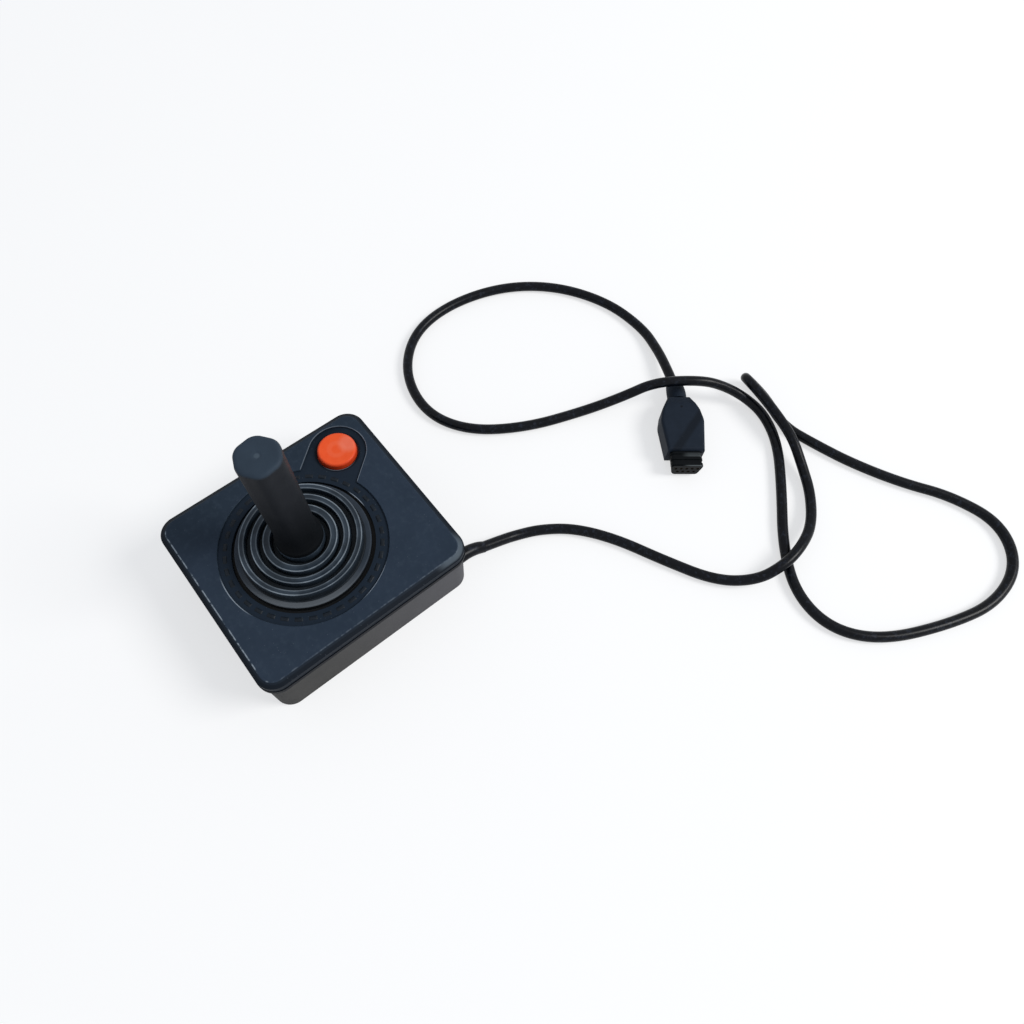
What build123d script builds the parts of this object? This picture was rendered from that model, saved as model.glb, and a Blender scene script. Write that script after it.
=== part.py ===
from build123d import *
from math import atan2, cos, degrees, dist, pi, radians, sin, tan
import os

# Joystick controller: a square case with a centre stick in a rubber boot, one fire
# button, and a lead that ends in a nine-way plug. Millimetres, +Z up. The origin is the
# centre of the base's underside, +X is the user's right and +Y points away from them.

# Case
case_width = 95.0
case_depth = 104.4
case_height = 35.5
case_corner = 9.0
wall = 2.4
top_thickness = 2.6
bevel_width = 2.7
bevel_height = 1.5
bevel_softness = 0.6
rim_softness = 0.3
lip_proud = 0.3
lip_drop = 7.7
lip_height = 2.3
groove_height = 0.5
groove_depth = 0.5
shell_inset = 1.2
seam_gap = 0.6
tongue_height = 3.0
tongue_thickness = 1.1
base_softness = 0.8

# Clearances
slip_gap = 0.1
running_gap = 0.05
boot_gap = 0.3

# Stick, its two tilt axes and how far it tilts
stick_y = -4.25
stick_rise = 77.5
pivot_drop = 12.0
tilt = 8.0
nub_radius_out = 16.0
grip_apothem = 8.5
grip_corner = 5.6
grip_turn = 8.0
grip_edge = 2.0
collar_radius = 10.3
collar_rise = 9.0
collar_height = 2.5
flare_height = 5.0
post_radius = 6.5
post_shoulder_radius = 8.2
post_shoulder_height = 2.0
grip_roof = 5.0

# Boot and the opening it fills
opening_radius = 31.2
ring_recess_radius = 37.0
ring_recess_depth = 0.9
boot_seat_radius = 29.5
boot_seat_rise = 1.1
boot_flange_radius = 34.0
boot_flange_thickness = 1.4
ridge_count = 3
ridge_radius = 25.0
ridge_pitch = 5.3
ridge_base_width = 3.4
ridge_top_width = 2.5
ridge_height = 7.1
ridge_rise = 0.3
ridge_softness = 0.8
fold_slot_width = 1.0
boot_wall = 1.2
web_height = 3.4
boot_neck_outer = 10.4
boot_neck_inner = 9.0

# Fire button
button_inset_x = 17.2
button_inset_y = 19.2
button_radius = 9.0
button_rise = 1.9
button_edge = 1.2
button_hole_radius = 9.6
button_flange_radius = 10.9
button_flange_thickness = 2.0
button_travel = 1.8
button_skirt = 1.3
plunger_radius = 3.0
dish_depth = 0.3
pocket_radius = 13.3
guide_wall = 1.2
guide_length = 7.4
spring_radius = 6.6
spring_wire = 0.7
spring_turns = 8

# Gimbal
gimbal_inner = 12.0
gimbal_outer = 16.0
gimbal_height = 6.0
pivot_radius = 1.5
lug_gap = 1.0
lug_thickness = 4.0
lug_width = 8.0
lug_drop = 3.0
barrel_radius = 3.5
barrel_reach = 11.2
hub_radius = 8.5
hub_above = 4.0
arm_width = 6.0
arm_thickness = 2.4
nub_radius = 2.0
nub_length = 1.0

# Carrier under the lid, and its screws
carrier_thickness = 2.0
carrier_inner = 24.0
carrier_rim = 0.4
ear_gap = 0.2
ear_radius = 3.2
ear_boss_radius = 2.6
small_shank = 1.1
small_head = 2.2
small_head_height = 1.6
carrier_screw_bite = 2.4

# Case screws: the back right one stands clear of the cord's way in
screw_inset = 7.6
screw_aside = 10.0
screw_shank = 1.45
screw_length = 14.0
screw_head = 2.75
screw_head_height = 2.0
post_radius_out = 3.6
post_top = 12.0
post_seat = 4.0
boss_radius = 3.2
cross_length = 2.6
cross_width = 0.6
cross_depth = 0.9

# Circuit board
board_inset_left = 10.0
board_inset_right = 19.5
board_inset_back = 10.7
board_reach_front = 23.5
board_corner = 6.0
board_thickness = 1.6
board_drop = 27.6
standoff_radius = 2.6
standoff_inset = 5.5
standoff_behind_stick = 10.25
board_screw_bite = 4.0
dome_radius = 5.0
dome_height = 1.2
dome_sheet = 0.2
dome_gap = 0.25
tape_sheet = 0.15
tape_radius = 7.0
fire_tape_radius = 6.0
tape_strip = 6.0

# Terminals and the wires to them
wire_count = 6
terminal_pitch = 2.54
terminal_inset = 3.5
terminal_from_back = 22.7
pin_radius = 0.45
pin_rise = 4.5
pin_tail = 1.0
terminal_size = 1.9
terminal_rise = 6.0
wire_radius = 0.5
wire_spread = 1.3
wire_rise = 5.0
wire_bend = 4.0
wire_hook = 1.4

# Cord, its grommet and its plug
cord_diameter = 5.2
grommet_inset = 8.2
grommet_z = 14.0
grommet_neck = 3.3
grommet_flange = 5.5
grommet_flange_thickness = 2.2
grommet_tail = 3.5
grommet_root = 0.8
grommet_sections = [(0.0, grommet_neck), (0.5, 3.05), (1.0, 2.8)]
relief_bend = 14.0
plug_relief_length = 14.0
plug_relief_sections = [(0.0, 2.9), (0.3, 4.3), (1.0, 4.8)]
plug_axis_height = 6.2
plug_body_length = 33.3
plug_body_height = 12.5
plug_shoulders = [(0.0, 5.8), (8.5, 9.9), (15.0, 11.3)]
plug_front_half_width = 9.4
plug_slope_length = 5.5
plug_slope_drop = 1.8
plug_softness = 1.6
plug_shoulder_softness = 9.0
insert_length = 8.4
insert_top_width = 16.3
insert_bottom_width = 12.4
insert_height = 8.4
insert_corner = 1.6
insert_collar = 0.4
insert_band_width = 1.4
insert_bands = [0.0, 3.2, 6.4]
contact_pitch = 2.77
contact_row = 2.84
contact_radius = 0.75
contact_bore = 0.5
contact_depth = 7.0
contact_recess = 0.3

# The cord's route, from its strain relief at the case to the one at the plug
grommet_x = case_width / 2 - grommet_inset
floor_z = cord_diameter / 2
cord_route = [
    (40.7, 63.0, 10.0), (41.8, 72.0, 6.5), (43.2, 80.5, 3.3),
    (48.2, 93.0, floor_z), (58.3, 106.5, floor_z), (75.3, 118.8, floor_z), (98.0, 129.5, floor_z),
    (121.0, 141.8, floor_z), (133.3, 156.5, 5.0), (136.3, 170.5, 9.0), (135.0, 184.0, 9.0),
    (130.0, 199.0, 5.5), (117.5, 213.5, 3.0), (104.4, 220.7, 5.0), (91.0, 226.0, 9.5),
    (77.5, 228.8, 11.0), (64.0, 230.8, 12.0), (51.7, 232.2, 12.0), (48.3, 235.8, 7.3),
    (51.7, 239.4, floor_z), (64.0, 238.2, floor_z), (81.5, 232.6, floor_z),
    (98.8, 237.4, floor_z), (119.0, 244.2, floor_z), (143.0, 256.0, floor_z),
    (163.0, 269.7, floor_z), (188.0, 277.3, floor_z), (207.5, 265.0, floor_z),
    (212.8, 240.0, floor_z), (205.0, 213.0, floor_z), (190.5, 182.5, floor_z),
    (172.0, 167.3, floor_z), (150.0, 167.0, floor_z), (129.0, 180.5, floor_z),
    (106.3, 204.3, floor_z), (87.4, 221.9, floor_z), (70.5, 229.8, floor_z),
    (57.0, 228.0, 5.0), (46.5, 219.0, 12.0), (38.5, 208.3, 17.0), (25.0, 189.0, 17.0),
    (17.7, 174.7, 8.0), (9.6, 155.2, floor_z), (-1.4, 124.3, floor_z),
    (-18.5, 99.0, floor_z), (-41.0, 88.0, floor_z), (-67.8, 94.0, floor_z),
    (-86.8, 113.5, floor_z), (-91.3, 141.0, floor_z), (-83.4, 173.0, floor_z),
    (-65.0, 198.0, floor_z), (-38.3, 214.0, floor_z), (-12.2, 217.6, floor_z),
    (5.6, 212.6, 4.2), (18.3, 206.7, plug_axis_height), (24.8, 203.8, plug_axis_height),
]

# Levels and places that follow from the sizes above
top_underside = case_height - top_thickness
recess_floor = case_height - ring_recess_depth
bevel_bottom = case_height - bevel_height
lip_bottom = case_height - lip_drop
stick_top = case_height + stick_rise
pivot_height = case_height - pivot_drop
collar_bottom = case_height + collar_rise
boot_seat_top = case_height + boot_seat_rise
ridge_top = case_height + ridge_height
web_top = case_height + web_height
button_x = button_inset_x - case_width / 2
button_y = case_depth / 2 - button_inset_y
button_top = case_height + button_rise
screw_x = case_width / 2 - screw_inset
screw_y = case_depth / 2 - screw_inset
screw_spots = [
    (-screw_x, -screw_y),
    (screw_x, -screw_y),
    (-screw_x, screw_y),
    (grommet_x - screw_aside, screw_y),
]
carrier_top = top_underside - boot_flange_thickness
carrier_bottom = carrier_top - carrier_thickness
carrier_outer = boot_flange_radius + carrier_rim
ear_circle = boot_flange_radius + ear_gap + ear_boss_radius
shell_top = lip_bottom - seam_gap
screw_seat = post_top - post_seat
board_left = board_inset_left - case_width / 2
board_right = case_width / 2 - board_inset_right
board_front = stick_y - board_reach_front
board_back = case_depth / 2 - board_inset_back
board_bottom = case_height - board_drop
board_top = board_bottom + board_thickness
terminal_x = board_right - terminal_inset
terminal_first_y = board_back - terminal_from_back
pin_top = board_top + pin_rise
terminal_top = board_top + terminal_rise
board_centre = ((board_left + board_right) / 2, (board_front + board_back) / 2)
dome_top = board_top + dome_height
dome_sphere = (dome_radius**2 + dome_height**2) / (2 * dome_height)
tape_top = dome_top + running_gap + tape_sheet
arm_reach = nub_radius_out + nub_radius
nub_tip = tape_top + dome_gap + arm_reach * sin(radians(tilt))
arm_bottom = nub_tip + nub_length
hub_top = pivot_height + hub_above
lug_inner = gimbal_outer + lug_gap
lug_outer = lug_inner + lug_thickness
lug_bottom = pivot_height - lug_drop
button_flange_top = top_underside - slip_gap
button_flange_bottom = button_flange_top - button_flange_thickness
button_roof = button_top - 2 * button_edge
plunger_tip = tape_top + dome_gap + button_travel
guide_radius = button_flange_radius + 2 * slip_gap
guide_clear = guide_radius + guide_wall + slip_gap
shell_back = case_depth / 2 - shell_inset
tongue_inset = wall + slip_gap
web_bottom = web_top - boot_wall
boot_seat_inner = ridge_radius + ridge_base_width / 2 - boot_wall
stick_axis = Axis((0, stick_y, 0), (0, 0, 1))
stick_profile = Plane((0, stick_y, 0), x_dir=(1, 0, 0), z_dir=(0, -1, 0))
button_axis = Axis((button_x, button_y, 0), (0, 0, 1))
button_profile = Plane((button_x, button_y, 0), x_dir=(1, 0, 0), z_dir=(0, -1, 0))
button_spot = [(button_x, button_y)]
pivot = Location((0, stick_y, pivot_height))
along_x = (0, 90, 0)
along_y = (90, 0, 0)
quarter_turns = (0, 90, 180, 270)


os.makedirs("parts", exist_ok=True)


def around_stick(radius):
    """Four places at the given radius from the stick's axis, along X and Y."""
    return [
        (radius * cos(radians(a)), stick_y + radius * sin(radians(a))) for a in quarter_turns
    ]


def save(part, name):
    """Label one finished sub-part and write it as its own file."""
    part.label = name
    export_step(part, f"parts/{name}.step")


def case_outline(inset, mode=Mode.ADD):
    """A rounded rectangle that lies the given distance inside the case's widest outline."""
    RectangleRounded(
        case_width - 2 * inset, case_depth - 2 * inset, case_corner - inset, mode=mode
    )


def ring_section(inner, outer, bottom, top, mode=Mode.ADD):
    """A rectangle of a turned profile, between two radii and two levels."""
    with Locations((inner, bottom)):
        Rectangle(outer - inner, top - bottom, align=(Align.MIN, Align.MIN), mode=mode)


def column(spots, radius, bottom, top, mode=Mode.ADD):
    """Round columns, or holes, of one size that stand at the given places."""
    with BuildSketch(Plane.XY.offset(bottom)) as discs:
        with Locations(*spots):
            Circle(radius)
    extrude(discs.sketch, amount=top - bottom, mode=mode)


def cross_recess(spots, level, depth):
    """Cross-shaped driver recesses in screw heads, cut from the given level."""
    with BuildSketch(Plane.XY.offset(level)) as crosses:
        with Locations(*spots):
            Rectangle(cross_length, cross_width)
            Rectangle(cross_width, cross_length)
    extrude(crosses.sketch, amount=depth, mode=Mode.SUBTRACT)


# Lower shell: a tray with a tongue that locates the lid, screw posts and board standoffs
board_spots = [
    (x, y)
    for x in (board_left + standoff_inset, board_right - standoff_inset)
    for y in (board_front + standoff_inset, stick_y + standoff_behind_stick)
]
with BuildPart() as lower_shell:
    with BuildSketch():
        case_outline(shell_inset)
    extrude(amount=shell_top)
    chamfer(lower_shell.faces().sort_by(Axis.Z)[0].edges(), base_softness)
    with BuildSketch(Plane.XY.offset(wall)):
        case_outline(shell_inset + wall)
    extrude(amount=shell_top, mode=Mode.SUBTRACT)
    with BuildSketch(Plane.XY.offset(shell_top - tongue_height)):
        case_outline(tongue_inset)
        case_outline(tongue_inset + tongue_thickness, Mode.SUBTRACT)
    extrude(amount=2 * tongue_height)
    column(screw_spots, post_radius_out, wall, post_top)
    column(board_spots, standoff_radius, wall, board_bottom)
    column(button_spot + [(0, stick_y)], standoff_radius, wall, board_bottom)
    column(screw_spots, screw_head + slip_gap, 0, screw_seat, Mode.SUBTRACT)
    column(screw_spots, screw_shank + slip_gap, 0, post_top, Mode.SUBTRACT)
    column(
        board_spots,
        small_shank + running_gap,
        board_bottom - board_screw_bite,
        board_bottom,
        Mode.SUBTRACT,
    )
    with BuildSketch(Plane.XZ.offset(3 * wall - shell_back)):
        with Locations((grommet_x, grommet_z)):
            Circle(grommet_neck + running_gap)
    extrude(amount=-4 * wall, mode=Mode.SUBTRACT)
save(lower_shell.part, "lower_shell")

# Lid: a bevelled top with a lip, a ring-shaped recess round the boot and one round the button
button_turn = degrees(atan2(stick_y - button_y, -button_x))
button_reach = dist((0, stick_y), (button_x, button_y))
with BuildPart() as lid:
    with BuildSketch(Plane.XY.offset(lip_bottom)):
        case_outline(lip_proud)
    extrude(amount=bevel_bottom - lip_bottom)
    with BuildSketch(Plane.XY.offset(bevel_bottom)):
        case_outline(lip_proud)
    with BuildSketch(Plane.XY.offset(case_height)):
        case_outline(lip_proud + bevel_width)
    loft()
    fillet(lid.edges().filter_by_position(Axis.Z, bevel_bottom, bevel_bottom), bevel_softness)
    with BuildSketch(Plane.XY.offset(lip_bottom)):
        case_outline(0)
    extrude(amount=lip_height)
    with BuildSketch(Plane.XY.offset(lip_bottom + lip_height)):
        case_outline(0)
        case_outline(lip_proud + groove_depth, Mode.SUBTRACT)
    extrude(amount=groove_height, mode=Mode.SUBTRACT)
    with BuildSketch(Plane.XY.offset(lip_bottom)):
        case_outline(wall)
    extrude(amount=top_underside - lip_bottom, mode=Mode.SUBTRACT)
    with BuildSketch(Plane.XY.offset(recess_floor)):
        with Locations((0, stick_y)):
            Circle(ring_recess_radius)
        with Locations((button_x / 2, (button_y + stick_y) / 2)):
            SlotCenterToCenter(button_reach, 2 * pocket_radius, rotation=button_turn)
    extrude(amount=case_height, mode=Mode.SUBTRACT)
    column([(0, stick_y)], opening_radius, top_underside, case_height, Mode.SUBTRACT)
    column(button_spot, button_hole_radius, top_underside, case_height, Mode.SUBTRACT)
    fillet(lid.faces().sort_by(Axis.Z)[-1].inner_wires().edges(), rim_softness)
    column(button_spot, guide_radius + guide_wall, top_underside - guide_length, top_underside)
    column(button_spot, guide_radius, top_underside - guide_length, top_underside, Mode.SUBTRACT)
    column(screw_spots, boss_radius, post_top, top_underside)
    column(screw_spots, screw_shank + running_gap, post_top, screw_seat + screw_length, Mode.SUBTRACT)
    column(around_stick(ear_circle), ear_boss_radius, carrier_top, top_underside)
    column(
        around_stick(ear_circle),
        small_shank + running_gap,
        carrier_top,
        carrier_top + carrier_screw_bite,
        Mode.SUBTRACT,
    )
save(lid.part, "lid")

# Case screws, driven up through the posts into the lid's bosses
with BuildPart() as case_screws:
    column(screw_spots, screw_head, screw_seat - screw_head_height, screw_seat)
    column(screw_spots, screw_shank, screw_seat, screw_seat + screw_length - slip_gap)
    cross_recess(screw_spots, screw_seat - screw_head_height, cross_depth)
save(case_screws.part, "case_screws")

# Stick carrier: clamps the boot's flange under the lid and holds the gimbal in two lugs
with BuildPart() as stick_carrier:
    with BuildSketch(Plane.XY.offset(carrier_bottom)):
        with Locations((0, stick_y)):
            Circle(carrier_outer)
            Rectangle(2 * ear_circle, 2 * ear_radius)
            Rectangle(2 * ear_radius, 2 * ear_circle)
        with Locations(*around_stick(ear_circle)):
            Circle(ear_radius)
        with Locations((0, stick_y)):
            Circle(carrier_inner, mode=Mode.SUBTRACT)
            for side in (-1, 1):
                with Locations((side * (lug_inner + carrier_outer) / 2, 0)):
                    Rectangle(carrier_outer - lug_inner, lug_width)
        with Locations(*around_stick(ear_circle)):
            Circle(small_shank + running_gap, mode=Mode.SUBTRACT)
        with Locations(button_spot):
            Circle(guide_clear, mode=Mode.SUBTRACT)
    extrude(amount=carrier_thickness)
    with BuildSketch(Plane.XY.offset(lug_bottom)):
        for side in (-1, 1):
            with Locations((side * (lug_inner + lug_thickness / 2), stick_y)):
                Rectangle(lug_thickness, lug_width)
    extrude(amount=carrier_bottom - lug_bottom)
    with Locations(pivot):
        Cylinder(pivot_radius + running_gap, 2 * carrier_inner, rotation=along_x, mode=Mode.SUBTRACT)
save(stick_carrier.part, "stick_carrier")

# Carrier screws
with BuildPart() as carrier_screws:
    column(around_stick(ear_circle), small_head, carrier_bottom - small_head_height, carrier_bottom)
    column(
        around_stick(ear_circle),
        small_shank,
        carrier_bottom,
        carrier_top + carrier_screw_bite - slip_gap,
    )
    cross_recess(around_stick(ear_circle), carrier_bottom - small_head_height, cross_depth)
save(carrier_screws.part, "carrier_screws")

# Rubber boot: a flange held under the lid, three hollow ridges and a neck round the stick
with BuildPart() as boot:
    with BuildSketch(stick_profile):
        ring_section(boot_seat_inner, boot_flange_radius, carrier_top, top_underside)
        ring_section(boot_seat_inner, boot_seat_radius, carrier_top, boot_seat_top)
        ring_section(boot_neck_inner, ridge_radius, web_bottom, web_top)
        ring_section(boot_neck_inner, boot_neck_outer, web_bottom, collar_bottom - boot_gap)
    revolve(axis=stick_axis)
    column(button_spot, guide_clear, carrier_top, top_underside, Mode.SUBTRACT)
    for i in range(ridge_count):
        middle = ridge_radius - i * ridge_pitch
        crest = ridge_top + i * ridge_rise
        foot = boot_seat_top - boot_wall if i == 0 else web_bottom
        with BuildSketch(stick_profile) as ridge:
            Polygon(
                (middle - ridge_base_width / 2, web_bottom),
                (middle - ridge_top_width / 2, crest),
                (middle + ridge_top_width / 2, crest),
                (middle + ridge_base_width / 2, foot),
                align=None,
            )
            fillet(ridge.vertices().group_by(Axis.Y)[-1], ridge_softness)
        revolve(axis=stick_axis)
    for i in range(ridge_count):
        middle = ridge_radius - i * ridge_pitch
        crest = ridge_top + i * ridge_rise
        with BuildSketch(stick_profile):
            ring_section(
                middle - fold_slot_width / 2,
                middle + fold_slot_width / 2,
                carrier_top,
                crest - boot_wall,
            )
        revolve(axis=stick_axis, mode=Mode.SUBTRACT)
save(boot.part, "boot")

# Gimbal ring: tilts about X on its own pins, and carries the stick's pin along Y
with BuildPart() as gimbal_ring:
    with Locations(pivot):
        Cylinder(gimbal_outer, gimbal_height)
        Cylinder(pivot_radius, 2 * (lug_outer - slip_gap), rotation=along_x)
        Cylinder(gimbal_inner, gimbal_height, mode=Mode.SUBTRACT)
        Cylinder(pivot_radius + running_gap, 2 * carrier_inner, rotation=along_y, mode=Mode.SUBTRACT)
save(gimbal_ring.part, "gimbal_ring")

# Stick pivot pin
with BuildPart() as stick_pivot_pin:
    with Locations(pivot):
        Cylinder(pivot_radius, 2 * (gimbal_outer - slip_gap), rotation=along_y)
save(stick_pivot_pin.part, "stick_pivot_pin")

# Stick core: a post on a hub, with four arms whose nubs press the contact domes
with BuildPart() as stick_core:
    column([(0, stick_y)], hub_radius, arm_bottom, hub_top)
    column([(0, stick_y)], post_radius, hub_top, stick_top - grip_roof)
    column([(0, stick_y)], post_shoulder_radius, collar_bottom - post_shoulder_height, collar_bottom)
    with Locations(pivot):
        Cylinder(barrel_radius, 2 * barrel_reach, rotation=along_y)
        Cylinder(
            pivot_radius + running_gap / 2, 2 * carrier_inner, rotation=along_y, mode=Mode.SUBTRACT
        )
    with BuildSketch(Plane.XY.offset(arm_bottom)):
        with Locations((0, stick_y)):
            Rectangle(2 * arm_reach, arm_width)
            Rectangle(arm_width, 2 * arm_reach)
    extrude(amount=arm_thickness)
    column(around_stick(nub_radius_out), nub_radius, nub_tip, arm_bottom)
save(stick_core.part, "stick_core")

# Stick sleeve: the rounded six-sided grip, with a flared foot and a round collar
with BuildPart() as stick_sleeve:
    with BuildSketch(Plane.XY.offset(collar_bottom)) as grip:
        with Locations((0, stick_y)):
            RegularPolygon(grip_apothem, 6, major_radius=False, rotation=30 + grip_turn)
        fillet(grip.vertices(), grip_corner)
    extrude(amount=stick_top - collar_bottom)
    fillet(stick_sleeve.faces().sort_by(Axis.Z)[-1].edges(), grip_edge)
    with BuildSketch(stick_profile):
        ring_section(0, collar_radius, collar_bottom, collar_bottom + collar_height)
        Polygon(
            (0, collar_bottom + collar_height),
            (collar_radius, collar_bottom + collar_height),
            (grip_apothem, collar_bottom + collar_height + flare_height),
            (0, collar_bottom + collar_height + flare_height),
            align=None,
        )
    revolve(axis=stick_axis)
    bore_top = stick_top - grip_roof
    column([(0, stick_y)], post_radius + running_gap, collar_bottom, bore_top, Mode.SUBTRACT)
save(stick_sleeve.part, "stick_sleeve")

# Fire button: a dished cap with a stop flange and a plunger over its contact dome
with BuildPart() as fire_button:
    with BuildSketch(button_profile) as cap:
        ring_section(0, button_radius, button_flange_bottom, button_top)
        fillet(cap.vertices().group_by(Axis.Y)[-1].sort_by(Axis.X)[-1], button_edge)
        ring_section(0, button_flange_radius, button_flange_bottom, button_flange_top)
        ring_section(
            plunger_radius,
            button_radius - button_skirt,
            button_flange_bottom,
            button_roof,
            Mode.SUBTRACT,
        )
        ring_section(0, plunger_radius, plunger_tip, button_flange_bottom)
    revolve(axis=button_axis)
    dish_radius = ((button_radius - button_edge) ** 2 + dish_depth**2) / (2 * dish_depth)
    with Locations((button_x, button_y, button_top - dish_depth + dish_radius)):
        Sphere(dish_radius, mode=Mode.SUBTRACT)
save(fire_button.part, "fire_button")

# Button spring, round the plunger between the board and the cap
spring_bottom = board_top + tape_sheet + slip_gap + spring_wire / 2
spring_length = button_roof - slip_gap - spring_wire / 2 - spring_bottom
with BuildPart() as button_spring:
    with BuildLine() as coil:
        Helix(
            spring_length / spring_turns,
            spring_length,
            spring_radius,
            center=(button_x, button_y, spring_bottom),
        )
    with BuildSketch(Plane(coil.line @ 0, z_dir=coil.line % 0)):
        Circle(spring_wire / 2)
    sweep(is_frenet=True)
save(button_spring.part, "button_spring")

# Circuit board with its screws
terminal_spots = [(terminal_x, terminal_first_y + i * terminal_pitch) for i in range(wire_count)]
with BuildPart() as circuit_board:
    with BuildSketch(Plane.XY.offset(board_bottom)):
        with Locations(board_centre):
            RectangleRounded(board_right - board_left, board_back - board_front, board_corner)
        with Locations(*board_spots):
            Circle(small_shank + slip_gap, mode=Mode.SUBTRACT)
        with Locations(*terminal_spots):
            Circle(pin_radius + running_gap, mode=Mode.SUBTRACT)
    extrude(amount=board_thickness)
save(circuit_board.part, "circuit_board")

with BuildPart() as board_screws:
    column(board_spots, small_head, board_top, board_top + small_head_height)
    column(board_spots, small_shank, board_bottom - board_screw_bite + slip_gap, board_top)
    cross_recess(board_spots, board_top + small_head_height, -cross_depth)
save(board_screws.part, "board_screws")

# Contact domes, and the tape with a blister over each of them
dome_spots = around_stick(nub_radius_out) + [(button_x, button_y)]
dome_centres = [(x, y, dome_top - dome_sphere) for x, y in dome_spots]
with BuildPart() as snap_domes:
    with Locations(*dome_centres):
        Sphere(dome_sphere)
        Sphere(dome_sphere - dome_sheet, mode=Mode.SUBTRACT)
    split(bisect_by=Plane.XY.offset(board_top))
save(snap_domes.part, "snap_domes")

with BuildPart() as contact_tape:
    with BuildSketch(Plane.XY.offset(board_top)):
        with Locations(*around_stick(nub_radius_out)):
            Circle(tape_radius)
        with Locations((button_x, button_y)):
            Circle(fire_tape_radius)
        with Locations((0, stick_y)):
            Rectangle(2 * nub_radius_out, tape_strip)
            Rectangle(tape_strip, 2 * nub_radius_out)
        with Locations((button_x / 2, (button_y + stick_y) / 2)):
            Rectangle(button_reach, tape_strip, rotation=button_turn)
    extrude(amount=tape_sheet)
    with Locations(*dome_centres):
        Sphere(dome_sphere + running_gap + tape_sheet)
        Sphere(dome_sphere + running_gap, mode=Mode.SUBTRACT)
    split(bisect_by=Plane.XY.offset(board_top))
save(contact_tape.part, "contact_tape")

# Terminal posts on the board and the terminals pushed over them
with BuildPart() as terminal_posts:
    column(terminal_spots, pin_radius, board_bottom - pin_tail, pin_top)
save(terminal_posts.part, "terminal_posts")

with BuildPart() as wire_terminals:
    with BuildSketch(Plane.XY.offset(board_top + slip_gap)):
        with Locations(*terminal_spots):
            Rectangle(terminal_size, terminal_size)
    extrude(amount=terminal_top - board_top - slip_gap)
    column(terminal_spots, pin_radius + running_gap / 2, board_top, pin_top, Mode.SUBTRACT)
save(wire_terminals.part, "wire_terminals")

# Inner wires: each runs forward from the cord's end, then turns left and down to its terminal
grommet_inside = shell_back - wall - grommet_flange_thickness - grommet_tail
with BuildPart() as inner_wires:
    for i in range(wire_count):
        start_x = grommet_x + (i // 2 - 1) * wire_spread
        start_z = grommet_z + (0.5 - i % 2) * wire_spread
        x, y = terminal_spots[wire_count - 1 - i]
        with BuildLine() as wire_path:
            FilletPolyline(
                (start_x, grommet_inside, start_z),
                (start_x, y, start_z),
                (x, y, terminal_top + wire_rise),
                (x, y, terminal_top),
                radius=[wire_bend, wire_hook],
            )
        with BuildSketch(Plane(wire_path.line @ 0, z_dir=wire_path.line % 0)):
            Circle(wire_radius)
        sweep()
save(inner_wires.part, "inner_wires")

# Cord grommet: a flange inside the back wall, cut to the case's round corner, a neck
# through the wall and a smooth taper that sags with the cord
cord_start = Vector(*cord_route[0])
grommet_profile = Plane((grommet_x, 0, grommet_z), x_dir=(0, 1, 0), z_dir=(1, 0, 0))
with BuildLine() as taper_line:
    Spline(
        (grommet_x, shell_back + grommet_root, grommet_z),
        cord_start,
        tangents=[(0, 1, 0), (Vector(*cord_route[1]) - cord_start).normalized()],
    )
with BuildPart() as cord_grommet:
    with BuildSketch(grommet_profile):
        ring_section(grommet_inside + grommet_tail, shell_back - wall, 0, grommet_flange)
    revolve(axis=Axis((grommet_x, 0, grommet_z), (0, 1, 0)))
    with BuildSketch():
        case_outline(shell_inset + wall + slip_gap)
    extrude(amount=case_height, mode=Mode.INTERSECT)
    with BuildSketch(grommet_profile):
        with BuildLine():
            Polyline(
                (grommet_inside, 0),
                (grommet_inside, cord_diameter / 2),
                (grommet_inside + grommet_tail, cord_diameter / 2),
                (grommet_inside + grommet_tail, grommet_neck),
                (shell_back + grommet_root, grommet_neck),
                (shell_back + grommet_root, 0),
                close=True,
            )
        make_face()
    revolve(axis=Axis((grommet_x, 0, grommet_z), (0, 1, 0)))
    for place, radius in grommet_sections:
        with BuildSketch(Plane(taper_line.line @ place, z_dir=taper_line.line % place)):
            Circle(radius)
    loft()
save(cord_grommet.part, "cord_grommet")

# Cord: straight runs joined by arcs, each as large as the runs beside it allow
runs = [dist(a, b) for a, b in zip(cord_route, cord_route[1:])]
corner_radii = []
for i in range(1, len(cord_route) - 1):
    before = Vector(*cord_route[i]) - Vector(*cord_route[i - 1])
    after = Vector(*cord_route[i + 1]) - Vector(*cord_route[i])
    half_turn = radians(before.get_angle(after)) / 2
    corner_radii.append(0.45 * min(runs[i - 1], runs[i]) / tan(half_turn))
print("cord arc radii:", [round(r, 1) for r in corner_radii])
with BuildPart() as cord:
    with BuildLine() as cord_line:
        FilletPolyline(*cord_route, radius=corner_radii)
    with BuildSketch(Plane(cord_line.line @ 0, z_dir=cord_line.line % 0)):
        Circle(cord_diameter / 2)
    sweep()
cord_length = sum(edge.length for edge in cord_line.edges())
cord_section = pi * cord_diameter**2 / 4
print("cord length:", round(cord_length, 1))
print("cord volume over section times length:", round(cord.part.volume / cord_section / cord_length, 4))
save(cord.part, "cord")

# Plug strain relief: it bends from the cord's direction to the plug's
cord_end = Vector(*cord_route[-1])
cord_heading = cord_end - Vector(*cord_route[-2])
with BuildLine(Plane.XY.offset(plug_axis_height)) as relief_line:
    JernArc(
        (cord_end.X, cord_end.Y),
        (cord_heading.X, cord_heading.Y),
        plug_relief_length / radians(relief_bend),
        -relief_bend,
    )
with BuildPart() as plug_strain_relief:
    for place, radius in plug_relief_sections:
        with BuildSketch(Plane(relief_line.line @ place, z_dir=relief_line.line % place)):
            Circle(radius)
    loft()
save(plug_strain_relief.part, "plug_strain_relief")

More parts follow.
